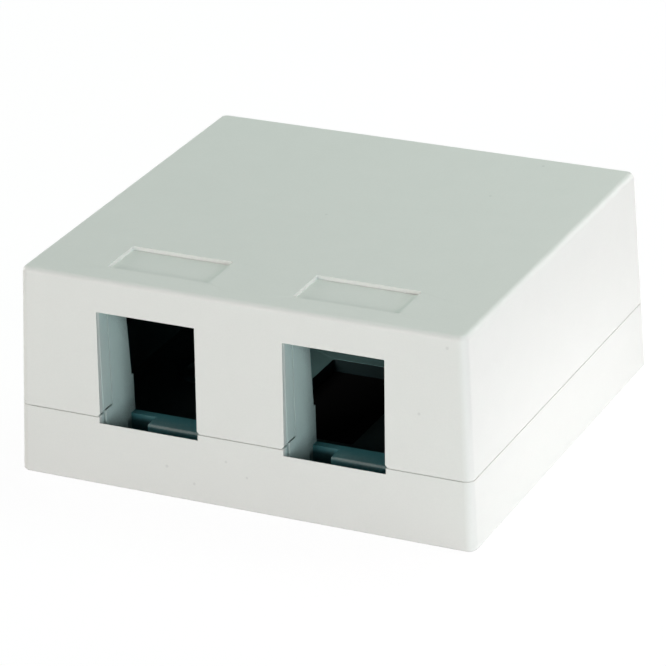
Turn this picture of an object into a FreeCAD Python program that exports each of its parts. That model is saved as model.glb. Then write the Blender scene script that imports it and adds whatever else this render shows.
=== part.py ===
import FreeCAD, Part
import math
import os

# Two-port surface mount jack box, in millimetres.
# +X is the right side, -Y the front with the two ports, +Z up. The origin is the
# centre of the underside. Two injection mouldings: a tray (base) with the two
# cells that hold keystone jacks, and a hood (cover) that drops over it.

# Outer form, shared by both mouldings
width = 68.2            # across the underside
depth = 64.3            # front to back across the underside
height = 30.4           # underside to top face
side_draft = 2.49       # degrees, left and right walls
end_draft = 2.36        # degrees, front and rear walls
foot_corner_r = 1.35    # upright corners at the underside
top_corner_r = 1.15     # the same corners at the top face
top_edge_r = 0.9        # rounding between the walls and the top face
foot_chamfer = 0.25     # bottom rim of the base
parting_z = 10.08       # where the cover sits on the base
seam_height = 0.08      # groove along the parting line, above and below it
seam_depth = 0.3

# Wall thicknesses
wall = 1.25             # upright walls of both mouldings
top_wall = 1.7          # roof of the cover
floor_wall = 2.0        # floor of the base
inner_corner_r = 0.6    # upright inside corners

# The two port openings
port_pitch = 27.78      # between the ports' centres
port_width = 14.8
port_sill_z = 9.2       # front edge of the notch in the base's front wall
sill_fall = 0.7         # the sill falls by this to its rear edge
port_lintel = 4.9       # from the opening's top to the top face
sill_clearance = 0.1    # the notch is wider than the port by this on each side
port_foot_chamfer = 0.45

# The rim behind each opening in the cover
jamb_reach = 3.4        # from the front face to the rim's rear edge
jamb_wall = 1.3
jamb_root = 0.15        # the rim reaches this far into the front wall
jamb_step = 0.05        # the rim stands inside the opening's edge by this
jamb_gap = 0.2          # above the cell's shoulder

# The cell that holds a jack, moulded in the base
cell_width = 14.5
cell_wall = 1.5
cell_reach = 9.75       # from the front face to the catch edge
cell_shoulder = 0.4     # rises above the parting line under the cover's rim
cell_front_gap = 0.3    # slot between the front wall and the cell
cell_rim_gap = 0.1      # behind the cover's rim
cell_head = 1.3         # height of the bar across the cell's top
cell_head_gap = 0.3     # between the opening's top and that bar
cell_head_reach = 2.0   # front to back of that bar
catch_z = 12.5          # top of the deeper lower part of the side walls
catch_step = 0.5
catch_lean = 3.7        # degrees, rear edge above the catch
web_z = 7.0             # top of the cross web behind the jack's foot
web_wall = 1.2
shelf_reach = 2.6       # shelf in front of the web
shelf_wall = 1.4
shelf_notch = 3.9       # pocket at the left end of the shelf
shelf_edge_r = 0.4
tie_web_z = 6.0         # web from the cells to the side walls and between the cells

# Lip that centres the cover
lip_wall = 1.0
lip_height = 1.1
lip_root = 2.0
lip_gap = 0.2

# Snap tabs on the base and catch ribs in the cover
snap_pitch = 28.0       # along each side wall
snap_width = 7.0
snap_wall = 1.2
snap_height = 6.0       # above the parting line
snap_root = 4.0         # below the parting line
snap_bead = 0.55        # bead on the tab
snap_bead_height = 2.0
snap_clearance = 0.1    # bead to rib, as the cover goes past
catch_rib = 0.35        # rib on the cover's wall
catch_rib_height = 0.9

# Floor of the base
entry_width = 14.4      # cable entry
entry_length = 25.0
entry_y = 0.6
entry_corner_r = 0.5
slot_pitch = 42.0       # screw slots
slot_y = 2.0
slot_width = 4.2
slot_length = 8.4
pad_wall = 1.6          # raised rim round each slot
pad_height = 0.8
strap_pitch = 40.0      # bridges for cable ties
strap_y = 19.0
strap_length = 7.2
strap_width = 2.4
strap_height = 3.6
strap_leg = 1.3
strap_bar = 1.4

# Roof and rear wall of the cover
label_width = 15.35     # one recess for a label over each port
label_length = 7.65
label_depth = 0.55
label_setback = 4.05    # from the front face at the top
label_corner_r = 0.35
hold_rib_wall = 1.0     # rib over each cell
hold_gap = 0.3
breakout_width = 14.0   # scored panel for a cable through the rear wall
breakout_height = 8.0
score_width = 0.5
score_inside = 0.6
score_outside = 0.2

# Places worked out from the sizes above
BELOW = 1.0             # how far a cutter runs past what it cuts
port_top_z = height - port_lintel
port_centres = (-port_pitch / 2, port_pitch / 2)
roof_z = height - top_wall
shoulder_z = parting_z + cell_shoulder
cell_bar_z = port_top_z + cell_head_gap
cell_top_z = cell_bar_z + cell_head


def half_width(z):
    """Half the outer width at height z."""
    return width / 2 - z * math.tan(math.radians(side_draft))


def half_depth(z):
    """Half the outer depth at height z."""
    return depth / 2 - z * math.tan(math.radians(end_draft))


front_y = -half_depth(parting_z)
cell_rear_y = front_y + cell_reach


def vec(x, y, z):
    return FreeCAD.Vector(x, y, z)


def block(x0, x1, y0, y1, z0, z1):
    """A box from its two corners."""
    return Part.makeBox(x1 - x0, y1 - y0, z1 - z0, vec(x0, y0, z0))


def rounded_rectangle(half_x, half_y, radius, z, x=0.0, y=0.0):
    """A closed wire: four sides and four quarter circles, centred on (x, y)."""
    edges = []
    quarter = math.pi / 2
    centres = ((1, 1), (-1, 1), (-1, -1), (1, -1))
    points = []
    for number, (side_x, side_y) in enumerate(centres):
        centre_x = x + side_x * (half_x - radius)
        centre_y = y + side_y * (half_y - radius)
        for angle in (number * quarter, (number + 0.5) * quarter, (number + 1) * quarter):
            points.append(vec(centre_x + radius * math.cos(angle), centre_y + radius * math.sin(angle), z))
    for number in range(4):
        start, middle, end = points[3 * number:3 * number + 3]
        edges.append(Part.Arc(start, middle, end).toShape())
        edges.append(Part.LineSegment(end, points[(3 * number + 3) % 12]).toShape())
    return Part.Wire(edges)


def outline(z, inset):
    """The box's drafted outline at height z, moved inwards by inset."""
    share = z / height
    radius = foot_corner_r + (top_corner_r - foot_corner_r) * share
    if inset > 0:
        radius = max(radius - inset, min(inner_corner_r, radius))
    return rounded_rectangle(half_width(z) - inset, half_depth(z) - inset, radius, z)


def skirt(levels):
    """A solid through outlines given as (z, inset) from the lowest up."""
    solid = None
    for low, high in zip(levels, levels[1:]):
        piece = Part.makeLoft([outline(*low), outline(*high)], True, True)
        solid = piece if solid is None else solid.fuse(piece)
    return solid


def drafted_ring(z0, z1, outer_inset, inner_inset):
    """A ring that follows the walls between two insets."""
    outer = skirt([(z0, outer_inset), (z1, outer_inset)])
    inner = skirt([(z0 - BELOW, inner_inset), (z1 + BELOW, inner_inset)])
    return outer.cut(inner)


def pocket(half_x, half_y, radius, z0, z1, x, y):
    """An upright prism with rounded corners."""
    face = Part.Face(rounded_rectangle(half_x, half_y, radius, z0, x, y))
    return face.extrude(vec(0, 0, z1 - z0))


def side_plate(points, x0, x1):
    """A plate across X from an outline of (y, z) points."""
    wire = Part.makePolygon([vec(x0, y, z) for y, z in points + points[:1]])
    return Part.Face(wire).extrude(vec(x1 - x0, 0, 0))


def fuse_all(first, others):
    solid = first
    for other in others:
        solid = solid.fuse(other)
    return solid.removeSplitter()


def cut_all(first, others):
    solid = first
    for other in others:
        solid = solid.cut(other)
    return solid


def port_notch(centre):
    """The notch in the base's front wall below a port, with a sill that falls inwards."""
    half = port_width / 2 + sill_clearance
    y0 = -half_depth(0) - BELOW
    y1 = front_y + wall + cell_front_gap / 2
    top = parting_z + BELOW
    points = [(y0, port_sill_z), (-half_depth(port_sill_z), port_sill_z),
              (y1, port_sill_z - sill_fall), (y1, top), (y0, top)]
    return side_plate(points, centre - half, centre + half)


def cell_side(x0, x1):
    """A side wall of a cell: low in front under the cover's rim, stepped at the catch behind."""
    lean = math.tan(math.radians(catch_lean))
    catch_y = cell_rear_y - catch_step
    points = [
        (front_y + wall + cell_front_gap, 0),
        (cell_rear_y, 0),
        (cell_rear_y, catch_z),
        (catch_y, catch_z),
        (catch_y - (cell_top_z - catch_z) * lean, cell_top_z),
        (front_y + jamb_reach + cell_rim_gap, cell_top_z),
        (front_y + jamb_reach + cell_rim_gap, shoulder_z),
        (front_y + wall + cell_front_gap, shoulder_z),
    ]
    return side_plate(points, x0, x1)


def cell_shelf(centre):
    """The shelf for the jack's foot: a plate with a rounded nose on a rib, with a pocket at its left."""
    left = centre - cell_width / 2 + shelf_notch
    right = centre + cell_width / 2
    rear = cell_rear_y - web_wall
    nose = rear - shelf_reach
    plate = block(left, right, nose, rear, web_z - shelf_wall, web_z)
    rib = block(left, left + web_wall, nose, rear, 0, web_z)
    shelf = plate.fuse(rib).removeSplitter()
    edges = [edge for edge in shelf.Edges
             if all(abs(v.Y - nose) < 1e-6 and abs(v.Z - web_z) < 1e-6 for v in edge.Vertexes)]
    return shelf.makeFillet(shelf_edge_r, edges)


def cell(centre):
    """One jack cell: two side walls, the cross web, the shelf and the head bar."""
    half = cell_width / 2
    outer = half + cell_wall
    lean = math.tan(math.radians(catch_lean))
    head_rear = cell_rear_y - catch_step - (cell_top_z - catch_z) * lean
    left = cell_side(centre - outer, centre - half)
    right = cell_side(centre + half, centre + outer)
    web = block(centre - outer, centre + outer, cell_rear_y - web_wall, cell_rear_y, 0, web_z)
    head = block(centre - outer, centre + outer, head_rear - cell_head_reach, head_rear,
                 cell_bar_z, cell_top_z)
    return fuse_all(left, [right, web, head, cell_shelf(centre)])


def tie_web():
    """The low web that ties both cells to each other and to the side walls."""
    long_web = block(-width / 2, width / 2, cell_rear_y - web_wall, cell_rear_y, floor_wall / 2, tie_web_z)
    keep = skirt([(0, wall / 2), (parting_z, wall / 2)])
    return long_web.common(keep)


def lip():
    """The lip inside the base's wall, open across the front between the outer cell walls."""
    low = drafted_ring(parting_z - lip_root, parting_z, wall / 2, wall + lip_gap + lip_wall)
    high = drafted_ring(parting_z - lip_root / 2, parting_z + lip_height, wall + lip_gap,
                        wall + lip_gap + lip_wall)
    reach = port_pitch / 2 + max(port_width / 2 + jamb_wall, cell_width / 2 + cell_wall) + lip_gap + wall
    gap = block(-reach, reach, front_y + wall, cell_rear_y, floor_wall, parting_z + lip_height + BELOW)
    return fuse_all(low.cut(gap), [high.cut(gap)])


def snap_tab(side, centre_y):
    """A springy tab with a bead near its top, on the left (-1) or right (+1) side."""
    inset = wall + catch_rib + snap_clearance + snap_bead
    top_z = parting_z + snap_height
    span = (centre_y - snap_width / 2, centre_y + snap_width / 2)
    ring = drafted_ring(parting_z - snap_root, top_z, inset, inset + snap_wall)
    x0, x1 = sorted((0, side * width / 2))
    tab = ring.common(block(x0, x1, *span, 0, height))
    face_x = half_width(top_z) - inset
    bead_top = top_z - snap_bead / 2
    points = [
        (side * (face_x - snap_wall / 2), bead_top),
        (side * (face_x + snap_bead), bead_top - snap_bead),
        (side * (face_x + snap_bead), bead_top - snap_bead_height + snap_bead),
        (side * (face_x - snap_wall / 2), bead_top - snap_bead_height - snap_bead / 2),
    ]
    wire = Part.makePolygon([vec(x, span[0], z) for x, z in points + points[:1]])
    bead = Part.Face(wire).extrude(vec(0, snap_width, 0))
    root = block(*sorted((side * (face_x - snap_wall), side * (half_width(parting_z) - wall / 2))), *span,
                 parting_z - snap_root, parting_z - lip_root / 2)
    return fuse_all(tab, [bead, root])


def catch_rib_bar(side, centre_y):
    """The rib in the cover that sits just under a tab's bead."""
    top = parting_z + snap_height - snap_bead_height - snap_bead - snap_clearance
    ring = drafted_ring(top - catch_rib_height, top, wall / 2, wall + catch_rib)
    x0, x1 = sorted((0, side * width / 2))
    return ring.common(block(x0, x1, centre_y - snap_width / 2, centre_y + snap_width / 2, 0, height))


def screw_slot(centre_x, rim, z0, z1):
    """A slot along X with round ends, wider than the screw slot by rim all round."""
    radius = slot_width / 2 + rim
    run = (slot_length - slot_width) / 2
    corners = [vec(centre_x + side_x * run, slot_y + side_y * radius, z0)
               for side_x, side_y in ((-1, -1), (1, -1), (1, 1), (-1, 1))]
    tips = [vec(centre_x + side * (run + radius), slot_y, z0) for side in (-1, 1)]
    edges = [
        Part.LineSegment(corners[0], corners[1]).toShape(),
        Part.Arc(corners[1], tips[1], corners[2]).toShape(),
        Part.LineSegment(corners[2], corners[3]).toShape(),
        Part.Arc(corners[3], tips[0], corners[0]).toShape(),
    ]
    return Part.Face(Part.Wire(edges)).extrude(vec(0, 0, z1 - z0))


def strap_bridge(centre_x):
    """A small bridge on the floor for a cable tie."""
    solid = block(centre_x - strap_length / 2, centre_x + strap_length / 2,
                  strap_y - strap_width / 2, strap_y + strap_width / 2,
                  floor_wall / 2, floor_wall + strap_height)
    tunnel = block(centre_x - strap_length / 2 + strap_leg, centre_x + strap_length / 2 - strap_leg,
                   strap_y - strap_width / 2 - BELOW, strap_y + strap_width / 2 + BELOW,
                   floor_wall, floor_wall + strap_height - strap_bar)
    return solid.cut(tunnel)


def make_base():
    shell = skirt([(0, foot_chamfer), (foot_chamfer, 0),
                   (parting_z - seam_height, 0), (parting_z, seam_depth)])
    shell = shell.cut(skirt([(floor_wall, wall), (parting_z + BELOW, wall)]))
    slot_centres = (-slot_pitch / 2, slot_pitch / 2)
    pad_top = floor_wall + pad_height
    pads = [screw_slot(x, pad_wall, floor_wall / 2, pad_top) for x in slot_centres]
    tabs = [snap_tab(side, end * snap_pitch / 2) for side in (-1, 1) for end in (-1, 1)]
    bridges = [strap_bridge(side * strap_pitch / 2) for side in (-1, 1)]
    base = fuse_all(shell, [lip(), tie_web()] + [cell(x) for x in port_centres] + pads + tabs + bridges)
    cuts = [port_notch(x) for x in port_centres]
    cuts.append(pocket(entry_width / 2, entry_length / 2, entry_corner_r,
                       -BELOW, floor_wall + BELOW, 0, entry_y))
    cuts += [screw_slot(x, 0, -BELOW, pad_top + BELOW) for x in slot_centres]
    return cut_all(base, cuts)


def port_cut(centre):
    """The opening in the cover's skin, open at the parting line, with its two chamfered feet."""
    half = port_width / 2
    y0 = -half_depth(0) - BELOW
    y1 = front_y + 2 * wall
    opening = block(centre - half, centre + half, y0, y1, parting_z - BELOW, port_top_z)
    spread = half + port_foot_chamfer
    points = [(centre - spread, parting_z), (centre + spread, parting_z), (centre, parting_z + spread)]
    wire = Part.makePolygon([vec(x, y0, z) for x, z in points + points[:1]])
    foot = Part.Face(wire).extrude(vec(0, y1 - y0, 0))
    below = block(centre - spread, centre + spread, y0, y1, parting_z - BELOW, parting_z)
    return fuse_all(opening, [foot, below])


def port_rim(centre):
    """The rim behind an opening: two legs and a lintel, open at the bottom."""
    inner = port_width / 2 - jamb_step
    outer = inner + jamb_wall
    y0 = front_y + wall - jamb_root
    y1 = front_y + jamb_reach
    foot_z = shoulder_z + jamb_gap
    rim = block(centre - outer, centre + outer, y0, y1, foot_z, port_top_z + jamb_wall)
    return rim.cut(block(centre - inner, centre + inner, y0 - BELOW, y1 + BELOW, foot_z - BELOW,
                         port_top_z - jamb_step))


def hold_rib(centre):
    """A rib under the roof that keeps a cell's head from lifting."""
    lean = math.tan(math.radians(catch_lean))
    rear = cell_rear_y - catch_step - (cell_top_z - catch_z) * lean
    middle = rear - cell_head_reach / 2
    return block(centre - cell_width / 2, centre + cell_width / 2, middle - hold_rib_wall / 2,
                 middle + hold_rib_wall / 2, cell_top_z + hold_gap, roof_z + top_wall / 2)


def label_recess(centre):
    front = -half_depth(height) + label_setback
    return pocket(label_width / 2, label_length / 2, label_corner_r, height - label_depth, height + BELOW,
                  centre, front + label_length / 2)


def breakout_score():
    """Grooves on both faces of the rear wall round the panel that breaks out."""
    z0 = parting_z - BELOW
    z1 = parting_z + breakout_height
    half = breakout_width / 2
    frame = block(-half, half, 0, depth, z0, z1)
    frame = frame.cut(block(score_width - half, half - score_width, -BELOW, depth + BELOW,
                            z0 - BELOW, z1 - score_width))
    grooves = (drafted_ring(z0, z1, -BELOW, score_outside),
               drafted_ring(z0, z1, wall - score_inside, wall + BELOW))
    return [groove.common(frame) for groove in grooves]


def round_top(solid):
    """Rounds the edges between the walls and the top face."""
    edges = [edge for edge in solid.Edges if all(abs(v.Z - height) < 1e-6 for v in edge.Vertexes)]
    return solid.makeFillet(top_edge_r, edges)


def make_cover():
    shell = skirt([(parting_z, seam_depth), (parting_z + seam_height, 0), (height, 0)])
    shell = round_top(shell.removeSplitter())
    shell = shell.cut(skirt([(parting_z - BELOW, wall), (roof_z, wall)]))
    shell = cut_all(shell, [port_cut(x) for x in port_centres])
    ribs = [catch_rib_bar(side, end * snap_pitch / 2) for side in (-1, 1) for end in (-1, 1)]
    cover = fuse_all(shell, [port_rim(x) for x in port_centres] + [hold_rib(x) for x in port_centres] + ribs)
    cover = cut_all(cover, [label_recess(x) for x in port_centres])
    return cut_all(cover, breakout_score())


def main():
    os.makedirs("parts", exist_ok=True)
    for name, solid in (("base", make_base()), ("cover", make_cover())):
        print(name, "valid", solid.isValid(), "solids", len(solid.Solids), "volume", round(solid.Volume, 1))
        solid.exportStep("parts/" + name + ".step")


main()
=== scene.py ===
import math
import bpy
from mathutils import Matrix, Vector


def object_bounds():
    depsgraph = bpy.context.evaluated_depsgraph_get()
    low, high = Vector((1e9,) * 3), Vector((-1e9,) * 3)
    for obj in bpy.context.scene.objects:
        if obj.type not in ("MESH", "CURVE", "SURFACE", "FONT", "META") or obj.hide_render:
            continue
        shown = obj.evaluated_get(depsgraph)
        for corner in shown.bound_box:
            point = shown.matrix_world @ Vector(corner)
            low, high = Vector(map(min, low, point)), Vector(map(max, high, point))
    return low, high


# Surface mount jack box with two open ports: a moulded tray and the hood that drops over it.
# Both mouldings come from the frame in their real form. This script softens their edges,
# gives them their plastic, and sets up the floor, the lamps and the camera. Metres.

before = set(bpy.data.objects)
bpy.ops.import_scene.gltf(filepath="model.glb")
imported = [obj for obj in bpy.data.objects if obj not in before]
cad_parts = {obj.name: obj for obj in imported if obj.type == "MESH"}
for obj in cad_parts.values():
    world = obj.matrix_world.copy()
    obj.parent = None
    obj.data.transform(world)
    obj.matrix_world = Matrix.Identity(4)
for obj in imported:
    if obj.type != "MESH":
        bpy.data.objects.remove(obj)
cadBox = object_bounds()
print("frame loaded")


# Small helpers for shader trees.

def newMaterial(name):
    mat = bpy.data.materials.new(name)
    mat.use_nodes = True
    mat.node_tree.nodes.clear()
    return mat


def addNode(tree, kind, place, **settings):
    node = tree.nodes.new(kind)
    node.location = place
    for key, value in settings.items():
        setattr(node, key, value)
    return node


def fill(node, **values):  # sets unlinked sockets by name, with _ for a space
    for key, value in values.items():
        node.inputs[key.replace("_", " ")].default_value = value
    return node


def newGroup(name, inputs, outputs):
    group = bpy.data.node_groups.new(name, "ShaderNodeTree")
    for label, kind, value in inputs:
        socket = group.interface.new_socket(name=label, in_out="INPUT", socket_type=kind)
        if value is not None:
            socket.default_value = value
    for label, kind in outputs:
        group.interface.new_socket(name=label, in_out="OUTPUT", socket_type=kind)
    given = addNode(group, "NodeGroupInput", (-900, 0))
    return group, given, addNode(group, "NodeGroupOutput", (900, 0))


def rangeOf(tree, source, low, high, place, start=0.0, end=1.0):  # a smooth step from start to end
    step = addNode(tree, "ShaderNodeMapRange", place, interpolation_type="SMOOTHSTEP")
    fill(step, From_Min=low, From_Max=high, To_Min=start, To_Max=end)
    tree.links.new(source, step.inputs["Value"])
    return step.outputs["Result"]


def calculate(tree, operation, place, *values):  # a Math node from sockets and numbers
    node = addNode(tree, "ShaderNodeMath", place, operation=operation)
    for socket, value in zip(node.inputs, values):
        if isinstance(value, (int, float)):
            socket.default_value = value
        else:
            tree.links.new(value, socket)
    return node.outputs[0]


def mixColours(tree, place, factor, first, second, blend="MIX"):  # of sockets or fixed colours
    node = addNode(tree, "ShaderNodeMix", place, data_type="RGBA", blend_type=blend)
    tree.links.new(factor, node.inputs["Factor"])
    for label, colour in (("A", first), ("B", second)):
        if isinstance(colour, tuple):
            node.inputs[label].default_value = colour
        else:
            tree.links.new(colour, node.inputs[label])
    return node.outputs["Result"]


def splitAxes(tree, place, source):
    node = addNode(tree, "ShaderNodeSeparateXYZ", place)
    tree.links.new(source, node.inputs[0])
    return [node.outputs[axis] for axis in "XYZ"]


# Shared surface effects, each a group that reads Object coordinates.

# A spark-eroded mould texture: a fine noise and a cloudy one, mixed to a height from 0 to 1.

grainNoise = {
    "size": 0.00025,
    "cloudSize": 0.004,
    "cloudShare": 0.3,
    "detail": (3.0, 2.0),   # of the fine noise and of the cloudy one
    "roughness": 0.55,
}


def makeGrainGroup():
    group, given, result = newGroup(
        "mouldGrain",
        [("Position", "NodeSocketVector", None),
         ("Grain Size", "NodeSocketFloat", grainNoise["size"]),
         ("Cloud Size", "NodeSocketFloat", grainNoise["cloudSize"]),
         ("Cloud Share", "NodeSocketFloat", grainNoise["cloudShare"])],
        [("Height", "NodeSocketFloat"), ("Cloud", "NodeSocketFloat")])
    link = group.links.new
    noises = []
    for row, (label, detail) in enumerate(zip(("Grain Size", "Cloud Size"), grainNoise["detail"])):
        scale = calculate(group, "DIVIDE", (-700, -200 * row), 1.0, given.outputs[label])
        noise = addNode(group, "ShaderNodeTexNoise", (-500, -200 * row))
        fill(noise, Detail=detail, Roughness=grainNoise["roughness"])
        link(given.outputs["Position"], noise.inputs["Vector"])
        link(scale, noise.inputs["Scale"])
        noises.append(noise.outputs["Fac"])
    mix = addNode(group, "ShaderNodeMix", (-200, 0), data_type="FLOAT")
    link(given.outputs["Cloud Share"], mix.inputs["Factor"])
    link(noises[0], mix.inputs["A"])
    link(noises[1], mix.inputs["B"])
    link(mix.outputs["Result"], result.inputs["Height"])
    link(noises[1], result.inputs["Cloud"])
    return group


# Sparse specks: cells of a pattern, kept where their random colour is under the share.

speckPattern = {
    "spacing": 0.003,
    "radius": 0.04,         # of a speck, as a share of the spacing
    "share": 0.06,
}


def makeSpeckGroup():
    group, given, result = newGroup(
        "dustSpecks",
        [("Position", "NodeSocketVector", None),
         ("Spacing", "NodeSocketFloat", speckPattern["spacing"]),
         ("Radius", "NodeSocketFloat", speckPattern["radius"]),
         ("Share", "NodeSocketFloat", speckPattern["share"])],
        [("Mask", "NodeSocketFloat")])
    link = group.links.new
    cells = addNode(group, "ShaderNodeTexVoronoi", (-500, 0))
    link(given.outputs["Position"], cells.inputs["Vector"])
    scale = calculate(group, "DIVIDE", (-700, 0), 1.0, given.outputs["Spacing"])
    link(scale, cells.inputs["Scale"])
    near = calculate(group, "LESS_THAN", (-250, 100),
                     cells.outputs["Distance"], given.outputs["Radius"])
    split = addNode(group, "ShaderNodeSeparateColor", (-250, -100))
    link(cells.outputs["Color"], split.inputs["Color"])
    kept = calculate(group, "LESS_THAN", (0, -100),
                     split.outputs["Red"], given.outputs["Share"])
    link(calculate(group, "MULTIPLY", (200, 0), near, kept), result.inputs["Mask"])
    return group


# Painted shade: the inside of the box is darkened where little open space is left round a point,
# with a painted pool of light on its floor.

hollow = {
    # painted shade, nearly black, deep inside the box
    "deepPaintedShade": (0.015, 0.045, 0.05, 1.0),
    "nearPaintedShade": (0.86, 1.0, 1.0, 1.0),      # painted shade: the cool tone just inside the ports
    "poolPaintedLight": (0.58, 0.98, 1.0, 1.0),     # painted light: a pool of light on the floor round the cable entry
    "lowPaintedShade": (0.13, 0.43, 0.5, 1.0),      # painted shade below the ports' sills
    "reach": 0.075,             # how far round a point open space counts
    "samples": 16,
    "deep": (0.03, 0.14),       # shares of open space, from the whole of a painted shade to none of it
    "near": (0.2, 0.5),
    "low": (0.2, 0.33),
    "poolCentre": (-0.005, 0.0145),
    "poolRadius": (0.007, 0.012),
    "poolFloor": 0.00195,       # the entry's own walls are below this
    "floorTop": 0.0021,
    "lowFloor": (0.0072, 0.0086),
    "notchFloor": (0.0058, 0.0068),  # painted shade in the pocket beside a port's shelf, behind notchFront
    "notchFront": -0.0243,
    "notchShare": 0.85,
    "sideways": 0.7,            # a face that points more to the side than this is a side wall
    "halfFoot": (0.0341, 0.03215),  # the outer walls at z = 0, and how much they lean in
    "lean": (0.0435, 0.0412),
    "skin": (0.0005, 0.0010),   # from the outer walls in, where the painted shade and light begin and are full
}


def makeHollowGroup():  # masks of painted shade and painted light for the inside of the box, all 0 on its outer faces
    group, given, result = newGroup(
        "hollowShade", [("Position", "NodeSocketVector", None)],
        [(label, "NodeSocketFloat") for label in ("Deep", "Near", "Pool", "Low")])

    def maths(operation, place, *values):
        return calculate(group, operation, place, *values)

    space = addNode(group, "ShaderNodeAmbientOcclusion", (-700, 300), samples=hollow["samples"])
    fill(space, Distance=hollow["reach"])
    x, y, z = splitAxes(group, (-700, -100), given.outputs["Position"])
    inside = None
    for row, (across, half, lean) in enumerate(zip((x, y), hollow["halfFoot"], hollow["lean"])):
        away = maths("ABSOLUTE", (-500, -200 * row), across)
        wall = maths("MULTIPLY_ADD", (-500, -100 - 200 * row), z, -lean, half)
        depth = maths("SUBTRACT", (-300, -200 * row), wall, away)
        mask = rangeOf(group, depth, *hollow["skin"], (-100, -200 * row))
        inside = mask if inside is None else maths("MULTIPLY", (100, -100), inside, mask)
    closed = {}
    for row, key in enumerate(("deep", "near", "low")):
        share = rangeOf(group, space.outputs["AO"], *hollow[key], (-500, 500 - 200 * row), 1.0, 0.0)
        closed[key] = maths("MULTIPLY", (300, 500 - 200 * row), share, inside)

    # deep: painted shade on closed places, the entry's own walls and the pockets beside the shelves
    under = maths("LESS_THAN", (300, 700), z, hollow["poolFloor"])
    under = maths("MULTIPLY", (500, 700), under, closed["low"])
    notch = rangeOf(group, z, *hollow["notchFloor"], (300, 900), hollow["notchShare"], 0.0)
    behind = maths("GREATER_THAN", (300, 1050), y, hollow["notchFront"])
    notch = maths("MULTIPLY", (400, 950), notch, behind)
    notch = maths("MULTIPLY", (500, 900), notch, closed["low"])
    under = maths("MAXIMUM", (600, 800), under, notch)
    deep = maths("MAXIMUM", (700, 600), closed["deep"], under)

    # low: painted shade above the floor and below the sills, but not on side walls
    low = rangeOf(group, z, *hollow["lowFloor"], (300, -300), 1.0, 0.0)
    low = maths("MULTIPLY", (400, -300), low,
                maths("GREATER_THAN", (300, -450), z, hollow["floorTop"]))
    facing = addNode(group, "ShaderNodeNewGeometry", (-500, -900)).outputs["Normal"]
    sideways = maths("ABSOLUTE", (-100, -900), splitAxes(group, (-300, -900), facing)[0])
    low = maths("MULTIPLY", (450, -350), low,
                maths("LESS_THAN", (100, -900), sideways, hollow["sideways"]))
    low = maths("MULTIPLY", (500, -300), low, closed["low"])

    # pool: painted light, a round patch of the floor
    squares = []
    for row, (across, centre) in enumerate(zip((x, y), hollow["poolCentre"])):
        away = maths("SUBTRACT", (-500, -600 - 150 * row), across, centre)
        squares.append(maths("POWER", (-300, -600 - 150 * row), away, 2.0))
    away = maths("SQRT", (-100, -600), maths("ADD", (-200, -650), *squares))
    pool = rangeOf(group, away, *hollow["poolRadius"], (100, -600), 1.0, 0.0)
    above = maths("GREATER_THAN", (100, -800), z, hollow["poolFloor"])
    pool = maths("MULTIPLY", (300, -650), pool, above)

    for label, mask in (("Deep", deep), ("Near", closed["near"]), ("Pool", pool), ("Low", low)):
        group.links.new(mask, result.inputs[label])
    return group


grainGroup = makeGrainGroup()
speckGroup = makeSpeckGroup()
hollowGroup = makeHollowGroup()
print("shared groups built")


# The two mouldings are of the same plastic.

plastic = {
    "colour": (0.773, 0.788, 0.753, 1.0),       # off-white, a little green
    "shadeColour": (0.717, 0.737, 0.702, 1.0),  # on the high spots of the grain
    "dust": (0.57, 0.585, 0.56, 1.0),
    "markShare": 0.55,          # how far a mark goes to the dust's colour
    "markEdge": (0.5, 1.5),     # a mark fades out from here to here, in shares of its radius
    "dusty": {  # specks lie only in front of the first and below the second
        "base": (0.0305, 0.012),
        "cover": (0.0307, 0.030),
    },
    "roughness": (0.42, 0.52),
    "grainHeight": 0.000016,
    "ior": 1.53,
}

marks = {  # centre and radius of each dark speck that stands out
    "base": (((-0.0112, -0.032, 0.0046), 0.00022), ((-0.0071, -0.032, 0.0027), 0.0002),
             ((-0.0022, -0.0319, 0.0068), 0.00018), ((0.0009, -0.0319, 0.005), 0.00018)),
    "cover": (((0.0171, 0.0148, 0.0304), 0.0002), ((0.0198, 0.0279, 0.0304), 0.00022),
              ((-0.0016, 0.0005, 0.0304), 0.00017), ((0.0262, -0.0314, 0.0187), 0.0002),
              ((0.0302, -0.031, 0.0286), 0.00022)),
}


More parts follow.
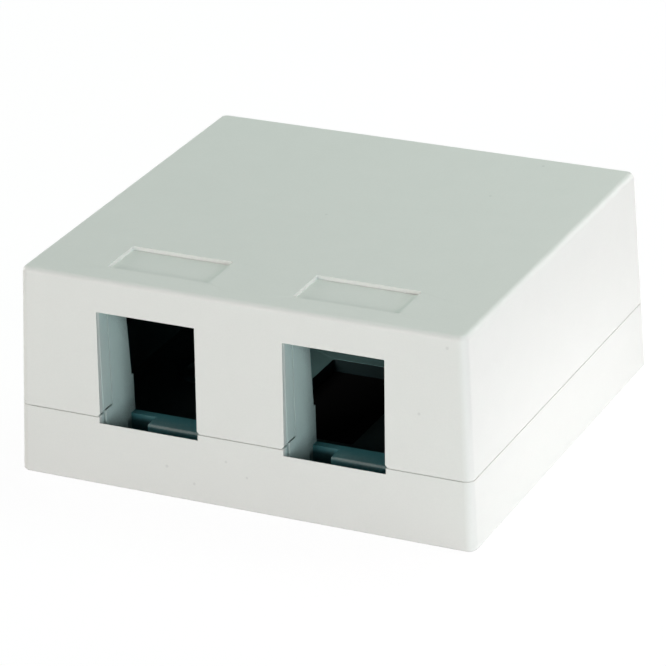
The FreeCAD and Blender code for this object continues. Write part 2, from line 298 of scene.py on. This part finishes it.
def makePlastic(name):
    mat = newMaterial(name + "Plastic")
    tree = mat.node_tree
    link = tree.links.new
    place = addNode(tree, "ShaderNodeTexCoord", (-1200, 0))
    grain = addNode(tree, "ShaderNodeGroup", (-900, 200), node_tree=grainGroup)
    specks = addNode(tree, "ShaderNodeGroup", (-900, -200), node_tree=speckGroup)
    for group in (grain, specks):
        link(place.outputs["Object"], group.inputs["Position"])
    tone = mixColours(tree, (-500, 100), grain.outputs["Height"],
                      plastic["colour"], plastic["shadeColour"])
    y, z = splitAxes(tree, (-1000, -500), place.outputs["Object"])[1:]
    front, top = plastic["dusty"][name]
    dust = calculate(tree, "MULTIPLY", (-700, -400), specks.outputs["Mask"],
                     calculate(tree, "LESS_THAN", (-850, -500), y, -front))
    dust = calculate(tree, "MULTIPLY", (-600, -450), dust,
                     calculate(tree, "LESS_THAN", (-850, -650), z, top))
    for row, (centre, radius) in enumerate(marks[name]):
        down = -800 - 150 * row
        away = addNode(tree, "ShaderNodeVectorMath", (-900, down), operation="DISTANCE")
        link(place.outputs["Object"], away.inputs[0])
        away.inputs[1].default_value = centre
        inner, outer = (share * radius for share in plastic["markEdge"])
        mark = rangeOf(tree, away.outputs["Value"], inner, outer, (-700, down),
                       plastic["markShare"], 0.0)
        dust = calculate(tree, "MAXIMUM", (-500, down), dust, mark)
    deep = addNode(tree, "ShaderNodeGroup", (-900, 500), node_tree=hollowGroup)
    link(place.outputs["Object"], deep.inputs["Position"])
    masks = deep.outputs
    dusty = mixColours(tree, (-300, 100), dust, tone, plastic["dust"])
    # painted shade inside the box: a cool tone inside the ports, a darker tone below the sills and
    # near black deep inside, with a painted pool of light on the floor round the cable entry
    cool = mixColours(tree, (-100, 100), masks["Near"], dusty, hollow["nearPaintedShade"], "MULTIPLY")
    lower = mixColours(tree, (100, 100), masks["Low"], cool, hollow["lowPaintedShade"], "MULTIPLY")
    paintedShadeAndPool = mixColours(tree, (100, 400), masks["Pool"], hollow["deepPaintedShade"], hollow["poolPaintedLight"])
    shown = mixColours(tree, (300, 200), masks["Deep"], lower, paintedShadeAndPool, "MULTIPLY")
    rough = addNode(tree, "ShaderNodeMapRange", (-500, -150))
    fill(rough, To_Min=plastic["roughness"][0], To_Max=plastic["roughness"][1])
    link(grain.outputs["Cloud"], rough.inputs["Value"])
    bump = addNode(tree, "ShaderNodeBump", (-250, -350))
    fill(bump, Strength=1.0, Distance=plastic["grainHeight"])
    link(grain.outputs["Height"], bump.inputs["Height"])
    shader = addNode(tree, "ShaderNodeBsdfPrincipled", (500, 100))
    fill(shader, IOR=plastic["ior"])
    link(shown, shader.inputs["Base Color"])
    link(rough.outputs["Result"], shader.inputs["Roughness"])
    link(bump.outputs["Normal"], shader.inputs["Normal"])
    output = addNode(tree, "ShaderNodeOutputMaterial", (800, 100))
    link(shader.outputs["BSDF"], output.inputs["Surface"])
    return mat


softEdges = {
    "weld": 0.000002,
    "width": 0.00012,
    "segments": 2,
    "angle": 35.0,          # edges sharper than this are softened
    "flatWeight": 90,
}


def softenEdges(node):
    weld = node.modifiers.new("weld", "WELD")
    weld.merge_threshold = softEdges["weld"]
    bevel = node.modifiers.new("softEdges", "BEVEL")
    bevel.width = softEdges["width"]
    bevel.segments = softEdges["segments"]
    bevel.limit_method = "ANGLE"
    bevel.angle_limit = math.radians(softEdges["angle"])
    flat = node.modifiers.new("flatFaces", "WEIGHTED_NORMAL")  # a large face stays flat
    flat.mode = "FACE_AREA"
    flat.weight = softEdges["flatWeight"]


for nodeName in ("base", "cover"):
    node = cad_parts[nodeName]
    node.data.materials[0] = makePlastic(nodeName)
    softenEdges(node)
    print(nodeName, "finished")


# Floor, background and lamps.

stageSet = {
    "floorRadius": 2.0,
    "floorSides": 96,
    "floorColour": (0.85, 0.85, 0.85, 1.0),
    "floorWhite": 0.88,     # how far the floor goes to plain white for the camera
    "glow": 1.06,           # strength of that white
    "shade": (0.031, 0.029),    # half sizes of the floor under the box, where no light gets
    "shadeColour": (0.02, 0.02, 0.02, 1.0),
    "shadeOpen": (0.12, 0.28),  # open space above it, as a share, where it is dark and light
    "fillColour": (0.92, 0.97, 1.0, 1.0),
    "fillStrength": 0.1,    # the light that comes from all round
    "backColour": (1.0, 1.0, 1.0, 1.0),
}

# Each lamp: azimuth from the front towards the right, elevation, distance, width and height,
# watts, colour.
lamps = {
    "sideLamp": (105.0, 30.0, 0.45, (0.25, 0.25), 0.68, (1.0, 0.725, 0.8)),
    "frontLamp": (-12.0, 14.0, 0.7, (0.25, 0.25), 2.07, (1.0, 0.905, 0.888)),
    "cornerLamp": (55.0, 8.0, 0.7, (0.25, 0.25), 1.83, (0.817, 0.94, 0.985)),
    "backLamp": (150.0, 62.0, 0.5, (0.25, 0.25), 0.765, (0.6, 0.985, 0.815)),
    "rearLamp": (160.0, 10.0, 0.7, (0.25, 0.25), 1.06, (1.0, 0.95, 0.96)),
    "leftLamp": (262.0, 12.0, 0.7, (0.25, 0.25), 1.74, (1.0, 0.99, 0.99)),
    "lowLamp": (90.0, -12.7, 0.0554, (0.08, 0.005), 0.0024, (1.0, 0.93, 0.97)),
}


def roundPlace(azimuth, elevation, distance, centre):
    a, e = math.radians(azimuth), math.radians(elevation)
    back = Vector((math.sin(a) * math.cos(e), -math.cos(a) * math.cos(e), math.sin(e)))
    return centre + back * distance, back


def whiteForCamera(tree):  # 1 for what is seen straight, by reflection or through glass, else 0
    rays = addNode(tree, "ShaderNodeLightPath", (-900, 300)).outputs
    seen = calculate(tree, "MAXIMUM", (-700, 300), rays["Is Camera Ray"], rays["Is Glossy Ray"])
    return calculate(tree, "MAXIMUM", (-500, 300), seen, rays["Is Transmission Ray"])


def showMix(tree, outputKind, factor, first, second):
    mix = addNode(tree, "ShaderNodeMixShader", (0, 100))
    for socket, source in zip(mix.inputs, (factor, first, second)):
        tree.links.new(source, socket)
    output = addNode(tree, outputKind, (200, 100))
    tree.links.new(mix.outputs[0], output.inputs["Surface"])


def makeFloor():
    bpy.ops.mesh.primitive_circle_add(vertices=stageSet["floorSides"],
                                      radius=stageSet["floorRadius"], fill_type="NGON")
    floor = bpy.context.object
    floor.name = "floor"
    mat = newMaterial("floorPaper")
    tree = mat.node_tree
    place = addNode(tree, "ShaderNodeTexCoord", (-1500, 0))
    axes = splitAxes(tree, (-1300, 0), place.outputs["Object"])
    outside = []
    for row, (across, half) in enumerate(zip(axes, stageSet["shade"])):
        away = calculate(tree, "ABSOLUTE", (-1100, -150 * row), across)
        outside.append(calculate(tree, "GREATER_THAN", (-900, -150 * row), away, half))
    clear = calculate(tree, "MAXIMUM", (-700, -50), *outside)
    space = addNode(tree, "ShaderNodeAmbientOcclusion", (-900, 600), samples=hollow["samples"])
    fill(space, Distance=hollow["reach"])
    lit = rangeOf(tree, space.outputs["AO"], *stageSet["shadeOpen"], (-700, 600))
    lit = calculate(tree, "MAXIMUM", (-500, 600), clear, lit)
    # painted shade: the floor under the box is nearly black where little open space is above it
    paperAndPaintedShade = mixColours(tree, (-500, 100), lit, stageSet["shadeColour"], stageSet["floorColour"])
    diffuse = addNode(tree, "ShaderNodeBsdfDiffuse", (-300, 100))
    tree.links.new(paperAndPaintedShade, diffuse.inputs["Color"])
    glow = fill(addNode(tree, "ShaderNodeEmission", (-300, -100)), Strength=stageSet["glow"])
    white = calculate(tree, "MULTIPLY", (-500, -50), clear, stageSet["floorWhite"])
    share = calculate(tree, "MULTIPLY", (-300, 300), whiteForCamera(tree), white)
    showMix(tree, "ShaderNodeOutputMaterial", share, diffuse.outputs[0], glow.outputs[0])
    floor.data.materials.append(mat)


def makeWorld():
    world = bpy.data.worlds.new("studio")
    bpy.context.scene.world = world
    world.use_nodes = True
    tree = world.node_tree
    tree.nodes.clear()
    ambient = fill(addNode(tree, "ShaderNodeBackground", (-300, 100)),
                   Color=stageSet["fillColour"], Strength=stageSet["fillStrength"])
    white = fill(addNode(tree, "ShaderNodeBackground", (-300, -100)),
                 Color=stageSet["backColour"], Strength=1.0)
    showMix(tree, "ShaderNodeOutputWorld", whiteForCamera(tree),
            ambient.outputs[0], white.outputs[0])


def makeLamps(centre):
    for name, (azimuth, elevation, distance, size, watts, colour) in lamps.items():
        data = bpy.data.lights.new(name, "AREA")
        data.shape = "RECTANGLE"
        data.size, data.size_y = size
        data.energy = watts
        data.color = colour
        lamp = bpy.data.objects.new(name, data)
        bpy.context.scene.collection.objects.link(lamp)
        lamp.location, back = roundPlace(azimuth, elevation, distance, centre)
        lamp.rotation_euler = (-back).to_track_quat("-Z", "Y").to_euler()


for leftover in ("Cube", "Light", "Camera"):
    if leftover in bpy.data.objects:
        bpy.data.objects.remove(bpy.data.objects[leftover])
middle = (cadBox[0] + cadBox[1]) / 2
makeFloor()
makeWorld()
makeLamps(middle)
bpy.context.scene.view_settings.view_transform = "Standard"
print("floor, world and lamps ready")


# The camera stands in front, to the right and above, with a long lens.

cameraSet = {
    "azimuth": 25.673,
    "elevation": 24.251,
    "roll": -1.859,
    "distance": 0.516575,
    "aim": (0.00275, -0.007652, 0.016454),
    "lens": 201.96,
    "clip": (0.05, 20.0),
}


def makeCamera():
    data = bpy.data.cameras.new("camera")
    data.lens = cameraSet["lens"]
    data.clip_start, data.clip_end = cameraSet["clip"]
    camera = bpy.data.objects.new("camera", data)
    bpy.context.scene.collection.objects.link(camera)
    spot, back = roundPlace(cameraSet["azimuth"], cameraSet["elevation"], cameraSet["distance"],
                            Vector(cameraSet["aim"]))
    turn = math.radians(cameraSet["azimuth"])
    right = Vector((math.cos(turn), math.sin(turn), 0.0))
    up = back.cross(right)
    roll = math.radians(cameraSet["roll"])
    tilted = right * math.cos(roll) + up * math.sin(roll)
    axes = Matrix((tilted, back.cross(tilted), back)).transposed().to_4x4()
    camera.matrix_world = Matrix.Translation(spot) @ axes
    bpy.context.scene.camera = camera


makeCamera()
